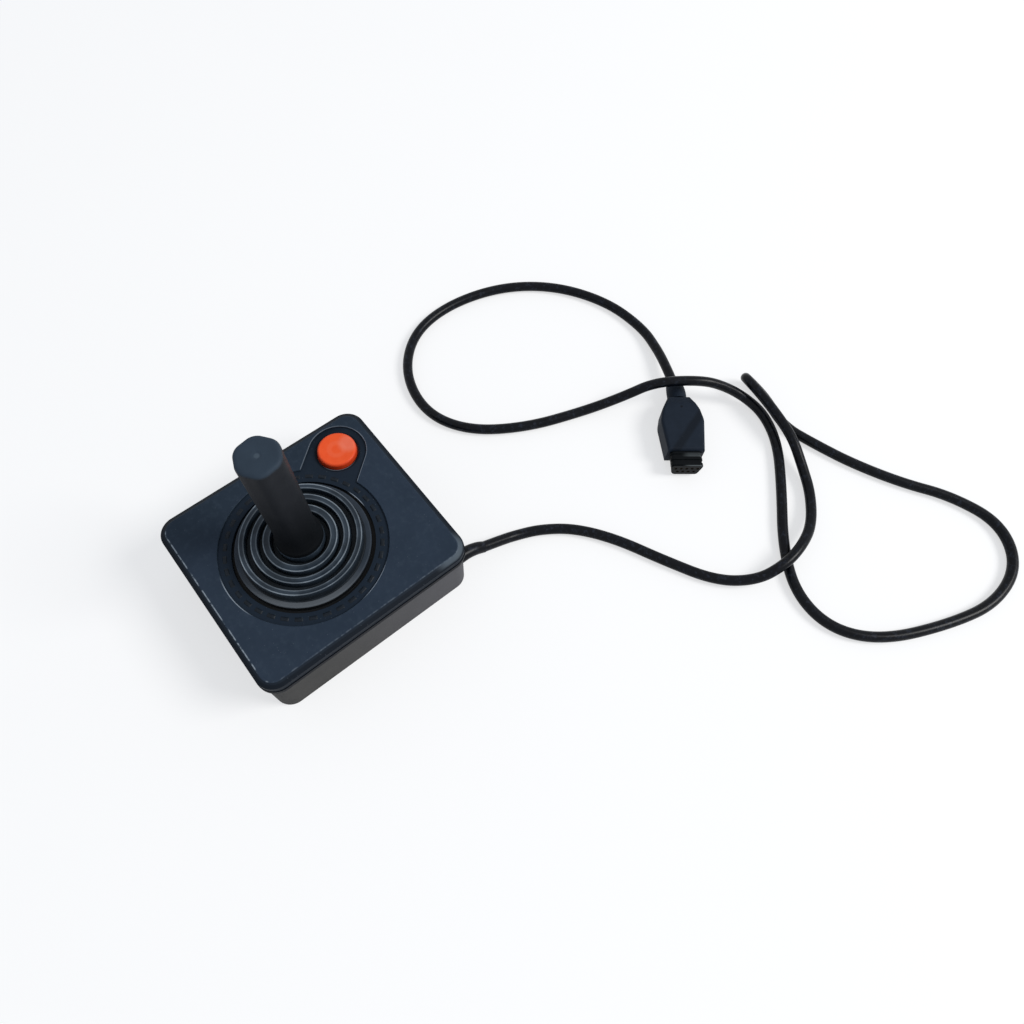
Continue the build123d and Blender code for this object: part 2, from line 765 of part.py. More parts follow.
# Plug body: a flat moulding with round shoulders and a top that slopes to the neck, lying
# on the surface under the case
plug_start = relief_line.line @ 1
plug_forward = relief_line.line % 1
plug_plane = Plane((plug_start.X, plug_start.Y, 0), x_dir=plug_forward, z_dir=(0, 0, 1))
plug_side = Plane(plug_plane.origin, x_dir=plug_forward, z_dir=-plug_plane.y_dir)
with BuildPart() as plug_body:
    with BuildSketch(plug_plane) as outline:
        with BuildLine():
            Polyline(
                (0, 0),
                *plug_shoulders,
                (plug_body_length, plug_front_half_width),
                (plug_body_length, 0),
            )
            mirror(about=Plane.XZ)
        make_face()
    extrude(amount=plug_body_height)
    upright = plug_body.edges().filter_by(Axis.Z)
    from_neck = upright.sort_by(lambda edge: plug_plane.to_local_coords(edge.center()).X)
    fillet(from_neck[2:6], plug_shoulder_softness)
    with BuildSketch(plug_side):
        Polygon(
            (0, plug_body_height - plug_slope_drop),
            (plug_slope_length, plug_body_height),
            (plug_slope_length, 2 * plug_body_height),
            (-plug_softness, 2 * plug_body_height),
            (-plug_softness, plug_body_height - plug_slope_drop),
            align=None,
        )
    extrude(amount=plug_body_height, both=True, mode=Mode.SUBTRACT)
    upper = plug_body.edges().filter_by(
        lambda edge: edge.center().Z > plug_body_height - plug_slope_drop - 0.01
    )
    fillet(upper, plug_softness)
    fillet(plug_body.faces().sort_by(Axis.Z)[0].edges(), plug_softness)
save(plug_body.part, "plug_body")

# Plug insert: the tapered nine-way nose, wide side up
front = plug_plane.from_local_coords(Vector(plug_body_length, 0, plug_axis_height))
nose_plane = Plane(front, x_dir=plug_plane.y_dir, z_dir=plug_forward)
contact_spots = [((i - 2) * contact_pitch, contact_row / 2) for i in range(5)]
contact_spots += [((i - 1.5) * contact_pitch, -contact_row / 2) for i in range(4)]


def nose_outline(grow):
    """The nose's tapered outline with round corners, enlarged all round."""
    half_height = insert_height / 2
    corners = [
        (-insert_top_width / 2, half_height),
        (insert_top_width / 2, half_height),
        (insert_bottom_width / 2, -half_height),
        (-insert_bottom_width / 2, -half_height),
    ]
    with BuildSketch(Plane.XY) as nose:
        Polygon(*corners, align=None)
        fillet(nose.vertices(), insert_corner)
        if grow > 0:
            offset(amount=grow)
    return nose.sketch


with BuildPart() as plug_insert:
    with BuildSketch(nose_plane):
        add(nose_outline(0))
    extrude(amount=insert_length)
    for place in insert_bands:
        with BuildSketch(nose_plane.offset(place)):
            add(nose_outline(insert_collar))
        extrude(amount=insert_band_width)
    with BuildSketch(nose_plane.offset(insert_length)):
        with Locations(*contact_spots):
            Circle(contact_radius + running_gap / 2)
    extrude(amount=-contact_depth, mode=Mode.SUBTRACT)
save(plug_insert.part, "plug_insert")

with BuildPart() as plug_sockets:
    with BuildSketch(nose_plane.offset(insert_length - contact_depth)):
        with Locations(*contact_spots):
            Circle(contact_radius)
            Circle(contact_bore, mode=Mode.SUBTRACT)
    extrude(amount=contact_depth - contact_recess)
save(plug_sockets.part, "plug_sockets")
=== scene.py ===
# %% [markdown]
# # A joystick controller, dressed in Blender
# The CAD model gives every hard part its true shape and place. This lesson adds what
# CAD leaves out: the finish of each plastic and rubber, the soft shapes of the boot, the
# grip and the lead, and the light they are seen in. Lengths are written in millimetres
# and turned into Blender's metres at the last moment.

import bmesh
import bpy
import numpy as np
from mathutils import Matrix, Vector


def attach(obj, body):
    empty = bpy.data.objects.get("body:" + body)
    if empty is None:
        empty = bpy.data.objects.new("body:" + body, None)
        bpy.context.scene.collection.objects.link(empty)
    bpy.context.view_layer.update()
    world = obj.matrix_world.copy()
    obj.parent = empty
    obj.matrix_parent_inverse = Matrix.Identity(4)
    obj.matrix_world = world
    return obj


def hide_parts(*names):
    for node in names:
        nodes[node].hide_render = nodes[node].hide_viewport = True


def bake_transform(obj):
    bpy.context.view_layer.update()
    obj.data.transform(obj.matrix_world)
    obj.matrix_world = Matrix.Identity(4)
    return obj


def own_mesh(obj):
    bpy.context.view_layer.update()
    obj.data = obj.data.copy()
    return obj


MM = 0.001
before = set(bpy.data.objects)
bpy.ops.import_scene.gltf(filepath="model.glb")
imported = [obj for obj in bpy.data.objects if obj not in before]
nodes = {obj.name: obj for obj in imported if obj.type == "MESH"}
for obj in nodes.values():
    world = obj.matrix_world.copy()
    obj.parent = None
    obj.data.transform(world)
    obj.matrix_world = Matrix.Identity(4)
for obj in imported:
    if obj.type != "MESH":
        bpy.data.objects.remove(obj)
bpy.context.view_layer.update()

# %% [markdown]
# ## The camera
# The photograph was taken by hand from high above the object's right side. The camera is
# described as a photographer would: where it looks, from which direction, how far away
# it stands, how much it is rolled, and how long its lens is.

# %% Camera
look_at = Vector((31.31, 88.56, 0.0)) * MM
view_azimuth, view_elevation, view_roll = np.radians([47.45, 64.32, 4.07])
view_distance = 388.09 * MM
backward = Vector(
    (
        np.cos(view_elevation) * np.sin(view_azimuth),
        -np.cos(view_elevation) * np.cos(view_azimuth),
        np.sin(view_elevation),
    )
)
level_right = Vector((0, 0, 1)).cross(backward).normalized()
level_up = backward.cross(level_right)
right = np.cos(view_roll) * level_right + np.sin(view_roll) * level_up
up = np.cos(view_roll) * level_up - np.sin(view_roll) * level_right
camera_data = bpy.data.cameras.new("camera")
camera_data.lens = 27.34
camera_data.clip_start = 0.01
camera = bpy.data.objects.new("camera", camera_data)
bpy.context.scene.collection.objects.link(camera)
camera.matrix_world = Matrix.Translation(look_at + view_distance * backward) @ (
    Matrix((right, up, backward)).transposed().to_4x4()
)
bpy.context.scene.camera = camera
print("camera at mm:", [round(c / MM, 1) for c in camera.matrix_world.translation])

# %% [markdown]
# ## The lead
# The lead is one length of soft vinyl cable. It leaves the case's back right corner,
# rises over a hump where it crosses itself, makes a large loop at the back right and
# another at the left, and ends in its plug under the hump. A NURBS spline through the
# listed control points bends as a cable does, and the curve's bevel gives it its
# round section. The bevel is 1 m deep and each point's radius scales it down, because
# Blender adds the points' radii to the curve's box.

# %% Lead
CORD_DIAMETER = 5.2
cord_route = [
    (40.7, 63.0, 10.0), (41.8, 72.0, 6.5), (43.2, 80.5, 3.3),
    (48.2, 93.0, 2.6), (58.3, 106.5, 2.6), (75.3, 118.8, 2.6), (98.0, 129.5, 2.6),
    (121.0, 141.8, 2.6), (133.3, 156.5, 5.0), (136.3, 170.5, 9.0), (135.0, 184.0, 9.0),
    (130.0, 199.0, 5.5), (117.5, 213.5, 3.0), (104.4, 220.7, 5.0), (91.0, 226.0, 9.5),
    (77.5, 228.8, 11.0), (64.0, 230.8, 12.0), (51.7, 232.2, 12.0), (48.3, 235.8, 7.3),
    (51.7, 239.4, 2.6), (64.0, 238.2, 2.6), (81.5, 232.6, 2.6),
    (98.8, 237.4, 2.6), (119.0, 244.2, 2.6), (143.0, 256.0, 2.6),
    (163.0, 269.7, 2.6), (188.0, 277.3, 2.6), (207.5, 265.0, 2.6),
    (212.8, 240.0, 2.6), (205.0, 213.0, 2.6), (190.5, 182.5, 2.6),
    (172.0, 167.3, 2.6), (150.0, 167.0, 2.6), (129.0, 180.5, 2.6),
    (106.3, 204.3, 2.6), (87.4, 221.9, 2.6), (70.5, 229.8, 2.6),
    (57.0, 228.0, 5.0), (46.5, 219.0, 12.0), (38.5, 208.3, 17.0), (25.0, 189.0, 17.0),
    (17.7, 174.7, 8.0), (9.6, 155.2, 2.6), (-1.4, 124.3, 2.6),
    (-18.5, 99.0, 2.6), (-41.0, 88.0, 2.6), (-67.8, 94.0, 2.6),
    (-86.8, 113.5, 2.6), (-91.3, 141.0, 2.6), (-83.4, 173.0, 2.6),
    (-65.0, 198.0, 2.6), (-38.3, 214.0, 2.6), (-12.2, 217.6, 2.6),
    (5.6, 212.6, 4.2), (18.3, 206.7, 6.2), (24.8, 203.8, 6.2),
]
lead_curve = bpy.data.curves.new("lead", "CURVE")
lead_curve.dimensions = "3D"
lead_spline = lead_curve.splines.new("NURBS")
lead_spline.points.add(len(cord_route) - 1)
lead_points = np.hstack([np.array(cord_route) * MM, np.ones((len(cord_route), 1))])
lead_spline.points.foreach_set("co", lead_points.ravel())
lead_spline.order_u = 3
lead_spline.use_endpoint_u = True
lead_spline.resolution_u = 14
lead_radii = np.full(len(cord_route), CORD_DIAMETER / 2 * MM)
lead_spline.points.foreach_set("radius", lead_radii)
lead_curve.bevel_depth = 1.0
lead_curve.bevel_resolution = 7
lead_curve.use_fill_caps = True
lead = bpy.data.objects.new("lead", lead_curve)
bpy.context.scene.collection.objects.link(lead)
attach(lead, "case")
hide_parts("cord")
print("lead control points:", len(cord_route))

# %% [markdown]
# ## Surfaces from arrays
# Every new piece is a grid of points worked out as whole arrays. A few helpers cover
# them all: one rounds the corners of an outline, one carries it round an upright axis,
# and the others turn a grid of points into a closed, smooth mesh whose hard edges stay
# crisp.

# %% Outline and grid helpers
def soften(corners, reach, steps=7):
    """A closed outline with rounded corners.

    Each corner P becomes the curve (1-t)²·A + 2t(1-t)·P + t²·B, where A and B lie on the
    two sides that meet there, at the given reach from P.
    """
    corners = np.array(corners, float)
    reach = np.broadcast_to(reach, len(corners))[:, None]
    before = np.roll(corners, 1, axis=0) - corners
    after = np.roll(corners, -1, axis=0) - corners
    start = corners + reach * before / np.linalg.norm(before, axis=1, keepdims=True)
    end = corners + reach * after / np.linalg.norm(after, axis=1, keepdims=True)
    t = np.linspace(0, 1, steps)[None, :, None]
    curve = (1 - t) ** 2 * start[:, None] + 2 * t * (1 - t) * corners[:, None]
    return (curve + t**2 * end[:, None]).reshape(-1, corners.shape[1])


def turned(radius, height, angles, centre):
    """A column of radii and heights carried round an upright axis.

    x = centre x + radius·cos(angle), y = centre y + radius·sin(angle), z = height.
    """
    return np.stack(
        [
            centre[0] + radius * np.cos(angles),
            centre[1] + radius * np.sin(angles),
            height + 0 * angles,
        ],
        axis=-1,
    )


def grid_quads(index):
    """One quad for each cell of a grid of point numbers."""
    return np.stack([index[:-1, :-1], index[:-1, 1:], index[1:, 1:], index[1:, :-1]], axis=-1)


def mesh_piece(name, points, faces, sharp):
    """A smooth mesh object from points in mm, crisp where faces meet at a sharper angle.

    Points that meet are merged, which also closes the poles.
    """
    mesh = bpy.data.meshes.new(name)
    mesh.from_pydata((points.reshape(-1, 3) * MM).tolist(), [], faces)
    work = bmesh.new()
    work.from_mesh(mesh)
    bmesh.ops.remove_doubles(work, verts=work.verts, dist=1e-6)
    bmesh.ops.dissolve_degenerate(work, edges=work.edges, dist=1e-7)
    bmesh.ops.recalc_face_normals(work, faces=work.faces)
    work.to_mesh(mesh)
    work.free()
    mesh.shade_smooth()
    mesh.set_sharp_from_angle(angle=np.radians(sharp))
    piece = bpy.data.objects.new(name, mesh)
    bpy.context.scene.collection.objects.link(piece)
    return piece


def surface(name, grid, closed_columns=True, caps=False):
    """A mesh object over a grid of points in mm whose rows close on themselves.

    The columns close on themselves too, or two caps close the open ones.
    """
    index = np.arange(grid.shape[0] * grid.shape[1]).reshape(grid.shape[:2])
    index = np.vstack([index, index[:1]])
    if closed_columns:
        index = np.hstack([index, index[:, :1]])
    faces = grid_quads(index).reshape(-1, 4).tolist()
    if caps:
        faces += [index[:-1, 0].tolist(), index[:-1, -1].tolist()]
    return mesh_piece(name, grid, faces, sharp=32)


full_turn = np.linspace(0, 2 * np.pi, 120, endpoint=False)
STICK = (0.0, -4.25)

# %% [markdown]
# ## The boot
# A bellows of three ridges joins the lid to the stick. On the real object it is one
# rubber moulding that stretches as the stick tilts, so here it is one profile swept
# round the stick. It is cut into sectors, in an outer stage with two ridges and an
# inner stage with the third ridge and the neck, and a whole ring makes the flange.

# %% Boot
WEB_TOP, WEB_BOTTOM = 38.9, 37.7
SEAT_TOP, SEAT_BOTTOM = 36.6, 31.5
SEAT_CUT = 27.0
CUT_RADIUS = 17.1
ridges = [(25.0, 1.2, 42.6), (19.65, 1.35, 42.9), (14.3, 1.55, 43.2)]
CREST_SINK = 0.45
CREST_REACH = 0.5
FOOT_REACH = 0.35
FOOT_SPREAD = 0.4
RIDGE_WALL = 0.8
CREST_WALL = 1.4
HOLLOW_REACHES = [0.2, 0.3, 0.3, 0.2]
OUTER_SLOT_HALF = 0.45
OUTER_SLOT_FOOT = 25.5
NECK_OUTER, NECK_INNER, NECK_TOP = 10.4, 9.0, 44.2
FLANGE_RADIUS, FLANGE_TOP = 34.0, 32.9
SEAT_RADIUS = 29.5
SECTORS = 16
COLUMNS = 16
CUT_MARGIN = 0.1
BLEND_HEIGHT = 40.0


def ridge_top(centre, half, crest, outer_foot=WEB_TOP):
    """Corners and corner reaches of one ridge's upper side, from outside inwards."""
    corners = [
        (centre + half + FOOT_SPREAD, outer_foot),
        (centre + half, crest),
        (centre, crest - CREST_SINK),
        (centre - half, crest),
        (centre - half - FOOT_SPREAD, WEB_TOP),
    ]
    return corners, [FOOT_REACH, CREST_REACH, half / 2, CREST_REACH, FOOT_REACH]


def ridge_hollow(centre, half, crest):
    """Corners and corner reaches of the slot under a ridge, from inside outwards."""
    slot = half - RIDGE_WALL
    corners = [
        (centre - slot, WEB_BOTTOM),
        (centre - slot, crest - CREST_WALL),
        (centre + slot, crest - CREST_WALL),
        (centre + slot, WEB_BOTTOM),
    ]
    return corners, HOLLOW_REACHES


def section(*parts):
    """One closed outline from runs of corners and their reaches."""
    corners = [corner for part in parts for corner in part[0]]
    reaches = [reach for part in parts for reach in part[1]]
    return soften(corners, reaches)


def remember_rest(piece):
    """Stores each point's place at rest, so that the finish bends with the rubber."""
    places = np.empty(3 * len(piece.data.vertices))
    piece.data.vertices.foreach_get("co", places)
    rest = piece.data.attributes.new("rest_place", "FLOAT_VECTOR", "POINT")
    rest.data.foreach_set("vector", places)


outer_centre, _, outer_crest = ridges[0]
outer_hollow = [
    (outer_centre - OUTER_SLOT_HALF, WEB_BOTTOM),
    (outer_centre - OUTER_SLOT_HALF, outer_crest - CREST_WALL),
    (outer_centre + OUTER_SLOT_HALF, outer_crest - CREST_WALL),
    (OUTER_SLOT_FOOT, SEAT_BOTTOM),
]
neck = [
    (NECK_OUTER, WEB_TOP),
    (NECK_OUTER, NECK_TOP),
    (NECK_INNER, NECK_TOP),
    (NECK_INNER, WEB_BOTTOM),
]
outer_stage = section(
    ([(SEAT_CUT, SEAT_BOTTOM), (SEAT_CUT, SEAT_TOP)], [0.0, 0.0]),
    ridge_top(*ridges[0], outer_foot=SEAT_TOP),
    ridge_top(*ridges[1]),
    ([(CUT_RADIUS, WEB_TOP), (CUT_RADIUS, WEB_BOTTOM)], [0.0, 0.0]),
    ridge_hollow(*ridges[1]),
    (outer_hollow, HOLLOW_REACHES),
)
inner_stage = section(
    ([(CUT_RADIUS, WEB_BOTTOM), (CUT_RADIUS, WEB_TOP)], [0.0, 0.0]),
    ridge_top(*ridges[2]),
    (neck, [0.4, 0.2, 0.2, 0.2]),
    ridge_hollow(*ridges[2]),
)
flange_section = soften(
    [
        (SEAT_CUT, SEAT_BOTTOM),
        (FLANGE_RADIUS, SEAT_BOTTOM),
        (FLANGE_RADIUS, FLANGE_TOP),
        (SEAT_RADIUS, FLANGE_TOP),
        (SEAT_RADIUS, SEAT_TOP),
        (SEAT_CUT, SEAT_TOP),
    ],
    [0.0, 0.2, 0.2, 0.2, 0.7, 0.0],
)
half_sector = np.pi / SECTORS
outer_start = SEAT_CUT * np.cos(half_sector) - CUT_MARGIN
inner_start = CUT_RADIUS * np.cos(half_sector) - CUT_MARGIN
boot_stages = {
    "outer": (outer_stage, "case", "gimbal", outer_start, CUT_RADIUS + CUT_MARGIN),
    "inner": (inner_stage, "gimbal", "stick", inner_start, NECK_OUTER + CUT_MARGIN),
}
flange_grid = turned(flange_section[:, :1], flange_section[:, 1:], full_turn, STICK)
boot_flange = surface("boot_flange", flange_grid)
remember_rest(boot_flange)
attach(boot_flange, "case")
boot_pieces = [boot_flange]
for stage, (profile, still, moving, start, end) in boot_stages.items():
    for k in range(SECTORS):
        middle = 2 * half_sector * k
        angles = np.linspace(middle - half_sector, middle + half_sector, COLUMNS + 1)
        piece = surface(
            f"boot_{stage}_{k + 1:02d}",
            turned(profile[:, :1], profile[:, 1:], angles, STICK),
            closed_columns=False,
            caps=True,
        )
        remember_rest(piece)
        toward = np.array([np.cos(middle), np.sin(middle), 0.0])
        axis = np.array([*STICK, BLEND_HEIGHT])
        tuple((axis + start * toward) * MM)
        tuple((axis + end * toward) * MM)
        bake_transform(piece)
        boot_pieces.append(piece)
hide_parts("boot")
print("boot pieces:", len(boot_pieces))

# %% [markdown]
# ## The grip
# The grip is a rubber sleeve with six flat sides and round corners, which flares into a
# round collar at its foot. A radius that depends on the angle gives the rounded hexagon,
# and a second value blends it into a circle lower down and in the bore. Extra rows of
# points along the straight sides keep the faces there from growing long.

# %% Grip
GRIP_APOTHEM = 8.5
GRIP_CORNER = 5.6
GRIP_TURN = np.radians(8)
GRIP_TOP = 113.0
COLLAR_RADIUS = 10.3
COLLAR_BOTTOM = 44.5
COLLAR_TOP = 47.0
FLARE_TOP = 53.5
BORE_RADIUS = 6.55
BORE_TOP = 108.0
DIMPLE_DEPTH = 0.22
FIRST_ROW, LAST_ROW, ROW_COUNT = 54.2, 110.6, 24


def six_sided(angles):
    """Radius of a hexagon with round corners, as a share of its apothem.

    On a side the radius is apothem/cos(a), with a measured from the side's middle. Near a
    corner it is the far crossing of the ray with the corner's circle.
    """
    a = (angles + np.pi / 6) % (np.pi / 3) - np.pi / 6
    reach = GRIP_APOTHEM - GRIP_CORNER
    half_flat = reach * np.tan(np.pi / 6)
    far = np.hypot(reach, half_flat)
    turn = np.abs(a) - np.pi / 6
    arc = far * np.cos(turn) + np.sqrt(GRIP_CORNER**2 - (far * np.sin(turn)) ** 2)
    side = GRIP_APOTHEM / np.cos(a)
    on_side = np.abs(np.tan(a)) <= half_flat / GRIP_APOTHEM
    return np.where(on_side, side, arc) / GRIP_APOTHEM


grip_outer = soften(
    [
        (BORE_RADIUS, COLLAR_BOTTOM),
        (COLLAR_RADIUS, COLLAR_BOTTOM),
        (COLLAR_RADIUS, COLLAR_TOP),
        (9.6, 48.6),
        (GRIP_APOTHEM, 52.5),
        (GRIP_APOTHEM, GRIP_TOP),
        (1.9, GRIP_TOP),
        (0.9, GRIP_TOP - DIMPLE_DEPTH),
        (0.0, GRIP_TOP - DIMPLE_DEPTH),
        (0.0, BORE_TOP),
        (BORE_RADIUS, BORE_TOP),
    ],
    [0.2, 0.4, 0.35, 0.7, 1.5, 2.0, 0.4, 0.3, 0.0, 0.0, 0.1],
    steps=9,
)
levels = np.linspace(FIRST_ROW, LAST_ROW, ROW_COUNT)
outer_rows = np.stack([np.full_like(levels, GRIP_APOTHEM), levels], axis=1)
side_at = np.argmax(grip_outer[:, 1] > FIRST_ROW)
grip_profile = np.vstack([grip_outer[:side_at], outer_rows, grip_outer[side_at:]])
height = grip_profile[:, 1:]
reach = grip_profile[:, :1]
rise = np.clip((height - COLLAR_TOP) / (FLARE_TOP - COLLAR_TOP), 0, 1)
sides = rise * rise * (3 - 2 * rise)
in_bore = (reach < BORE_RADIUS + 0.2) & (height < BORE_TOP + 0.1)
sides = np.where(in_bore, 0.0, sides)
grip_radius = reach * ((1 - sides) + sides * six_sided(full_turn - GRIP_TURN))
grip = surface("grip", turned(grip_radius, height, full_turn, STICK))
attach(grip, "stick")
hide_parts("stick_sleeve")
print("grip triangles:", sum(len(face.vertices) - 2 for face in grip.data.polygons))

# %% [markdown]
# ## Button spring
# The spring under the fire button, with its foot on the board, gets a mesh of its own.

# %% Button spring
spring = nodes["button_spring"]
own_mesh(spring)

# %% [markdown]
# ## Marks round the boot
# The floor of the ring-shaped recess carries a row of low raised marks, moulded into the
# lid. Each is a small dome: its height is the product of two rounded bumps, one along the
# mark and one across it. One array holds all the marks at once, each turned to its place.

# %% Ring marks
MARK_COUNT = 36
MARK_LENGTH, MARK_WIDTH, MARK_HEIGHT = 3.6, 1.9, 0.35
MARK_RADIUS = 34.0
MARK_FLOOR = 34.58
FIRST_MARK_TURN = 4
along = np.linspace(-1, 1, 15)
across = np.linspace(-1, 1, 9)
u, v = np.meshgrid(along, across, indexing="ij")
dome = (1 - u**6) * (1 - v**4)
mark_turn = np.radians(FIRST_MARK_TURN + 360 / MARK_COUNT * np.arange(MARK_COUNT))
mark_turn = mark_turn[:, None, None]
radial = MARK_RADIUS + v * MARK_WIDTH / 2
sideways = u * MARK_LENGTH / 2
mark_points = np.stack(
    [
        STICK[0] + radial * np.cos(mark_turn) - sideways * np.sin(mark_turn),
        STICK[1] + radial * np.sin(mark_turn) + sideways * np.cos(mark_turn),
        MARK_FLOOR + MARK_HEIGHT * dome + 0 * mark_turn,
    ],
    axis=-1,
)
mark_index = np.arange(u.size).reshape(u.shape)
mark_quads = grid_quads(mark_index.T)
mark_faces = mark_quads.reshape(1, -1, 4) + u.size * np.arange(MARK_COUNT)[:, None, None]
mark_rim = np.concatenate(
    [mark_index[0], mark_index[1:, -1], mark_index[-1, -2::-1], mark_index[-2:0:-1, 0]]
)
mark_bases = mark_rim + u.size * np.arange(MARK_COUNT)[:, None]
mark_faces = mark_faces.reshape(-1, 4).tolist() + mark_bases.tolist()
ring_marks = mesh_piece("ring_marks", mark_points, mark_faces, sharp=40)
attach(ring_marks, "case")
print("ring marks:", MARK_COUNT)

# %% [markdown]
# ## Finishes
# Shader maths reads like arithmetic here. A Signal is one socket of the node tree, and
# adding or multiplying two of them, or taking the larger, adds the matching Math node. A
# Finish is one material with its Principled shader. Every other node comes from one
# method, and a colour is a base under coats, each brought by its own mask.

# %% Signal and Finish
def colour(red, green, blue):
    """A colour written as on screen, 0 to 255, turned into linear light."""
    c = np.array([red, green, blue]) / 255
    linear = np.where(c <= 0.04045, c / 12.92, ((c + 0.055) / 1.055) ** 2.4)
    return (*linear.tolist(), 1.0)


class Signal:
    """One output socket of a finish, ready for arithmetic."""

    def __init__(self, finish, socket):
        self.finish = finish
        self.socket = socket

    def math(self, operation, *values):
        """A Math node of the given operation."""
        settings = {"operation": operation}
        return self.finish.node("ShaderNodeMath", settings, dict(enumerate(values)))

    def __add__(self, other):
        return self.math("ADD", self, other)

    def __sub__(self, other):
        return self.math("SUBTRACT", self, other)

    def __rsub__(self, other):
        return self.math("SUBTRACT", other, self)

    def __mul__(self, other):
        return self.math("MULTIPLY", self, other)

    def __truediv__(self, other):
        return self.math("DIVIDE", self, other)

    def __rtruediv__(self, other):
        return self.math("DIVIDE", other, self)

    def __pow__(self, other):
        return self.math("POWER", self, other)

    def __abs__(self):
        return self.math("ABSOLUTE", self)

    __radd__ = __add__
    __rmul__ = __mul__

    def least(self, other):
        return self.math("MINIMUM", self, other)

    def most(self, other):
        return self.math("MAXIMUM", self, other)

    def root(self):
        return self.math("SQRT", self)

    def ramp(self, low, high):
        """0 below low, 1 above high, and a soft step in between."""
        settings = {"interpolation_type": "SMOOTHSTEP"}
        values = {"Value": self, "From Min": low, "From Max": high}
        return self.finish.node("ShaderNodeMapRange", settings, values)


class Finish:
    """One material: a Principled shader and the nodes that feed it."""

    def __init__(self, name, **uniform):
        self.material = bpy.data.materials.new(name)
        self.material.use_nodes = True
        self.tree = self.material.node_tree
        self.shader = self.tree.nodes["Principled BSDF"]
        for socket, value in uniform.items():
            self.feed(self.shader.inputs[socket.replace("_", " ")], value)
        self.place = self.node("ShaderNodeTexCoord", output="Object")

    def feed(self, socket, value):
        """Links a signal to a socket, or sets the socket to a plain value."""
        if isinstance(value, Signal):
            self.tree.links.new(value.socket, socket)
        else:
            socket.default_value = value

    def node(self, kind, settings=None, inputs=None, output=0):
        """Any node: its type, its settings, which are set first, and its sockets.

        Returns one output, or all of them where output is None. The setting "stops" is a
        ramp's list of positions and colours, which change in steps.
        """
        made = self.tree.nodes.new(kind)
        for name, value in (settings or {}).items():
            if name == "stops":
                self.set_stops(made.color_ramp, value)
            else:
                setattr(made, name, value)
        for key, value in (inputs or {}).items():
            self.feed(made.inputs[key], value)
        if output is None:
            return [Signal(self, socket) for socket in made.outputs]
        return Signal(self, made.outputs[output])

    def set_stops(self, ramp, stops):
        """Gives a ramp its stops; each colour holds up to the next stop."""
        ramp.interpolation = "CONSTANT"
        while len(ramp.elements) < len(stops):
            ramp.elements.new(1.0)
        for element, (place, shade) in zip(ramp.elements, stops):
            element.position = place
            element.color = shade

    def position(self):
        """The point's x, y and z in millimetres."""
        parts = self.node("ShaderNodeSeparateXYZ", {}, {0: self.place}, output=None)
        return [part / MM for part in parts]

    def noise(self, size, detail=3.0, rough=0.55):
        """Cloudy noise from 0 to 1 whose largest lumps are about size mm across."""
        values = {
            "Vector": self.place,
            "Scale": 1 / (size * MM),
            "Detail": detail,
            "Roughness": rough,
        }
        return self.node("ShaderNodeTexNoise", {}, values)

    def specks(self, size, radius, share):
        """Small dots: 1 inside, 0 outside, one in some of the cells of the given size."""
        values = {"Vector": self.place, "Scale": 1 / (size * MM)}
        distance, cell, *_ = self.node("ShaderNodeTexVoronoi", {}, values, output=None)
        near = 1 - distance.ramp(radius * 0.5, radius)
        pick = self.node("ShaderNodeSeparateColor", {}, {0: cell})
        return near * pick.math("LESS_THAN", pick, share)

    def mix(self, factor, first, second):
        """From the first colour at 0 to the second at 1."""
        values = {0: factor, 6: first, 7: second}
        return self.node("ShaderNodeMix", {"data_type": "RGBA"}, values, output=2)

    def coats(self, mask, dark, light, *coats):
        """A colour that goes from dark to light with a mask, under further coats.

        Each coat is a mask from 0 to 1 and the colour that it brings.
        """
        made = self.mix(mask, colour(*dark), colour(*light))
        for share, shade in coats:
            made = self.mix(share, made, shade if isinstance(shade, Signal) else colour(*shade))
        return made

    def paint(self, base, roughness, height, depth):
        """Feeds the shader: its colour, its roughness, and a bump of the given depth in mm."""
        values = {"Height": height, "Distance": depth * MM}
        self.feed(self.shader.inputs["Base Color"], base)
        self.feed(self.shader.inputs["Roughness"], roughness)
        self.feed(self.shader.inputs["Normal"], self.node("ShaderNodeBump", {}, values))
        return self.material


def dress(material, *names):
    """Gives a material to pieces and CAD nodes, by name."""
    for name in names:
        piece = bpy.data.objects[name]
        piece.data.materials.clear()
        piece.data.materials.append(material)


# %% [markdown]
# ## Case plastic
# The lid is a fine-textured blue-black moulding with a little dust. A broken painted
# highlight runs along the inner line of the bevel, and a broad painted highlight lies near
# one corner. The distance to a rounded rectangle gives that line: positive outside,
# negative inside, zero on it. Painted highlights also line the edges of the recesses, the
# opening and the button hole, only in places, so each line is limited by soft spots.
# Painted shade darkens the left side, the recess and pocket floors, a ring round the
# button hole, the bevel and the groove at the lid's lower edge.

# %% Case plastic
def rounded_rectangle(x, y, half_x, half_y, corner):
    """Signed distance in mm to a rounded rectangle.

    With q = (|x| - half_x + corner, |y| - half_y + corner), it is the length of q's
    positive part plus the smaller of 0 and q's larger part, less the corner.
    """
    qx = abs(x) - (half_x - corner)
    qy = abs(y) - (half_y - corner)
    outside = (qx.most(0) ** 2 + qy.most(0) ** 2).root()
    return outside + qx.most(qy).least(0) - corner


def line(distance, width):
    """1 on a line, fading to 0 at the given distance in mm from it."""
    return 1 - abs(distance).ramp(width * 0.35, width)


def away(x, y, place):
    """Distance in mm, seen from above, from a place."""
    return ((x - place[0]) ** 2 + (y - place[1]) ** 2).root()


def spot(x, y, place, radius):
    """1 at a place seen from above, fading to 0 at the given radius in mm."""
    return 1 - away(x, y, place).ramp(radius * 0.4, radius)


def offset_along(x, y, start, way):
    """How far, in mm, a point lies from a start in the direction of a unit vector."""
    return (x - start[0]) * way[0] + (y - start[1]) * way[1]


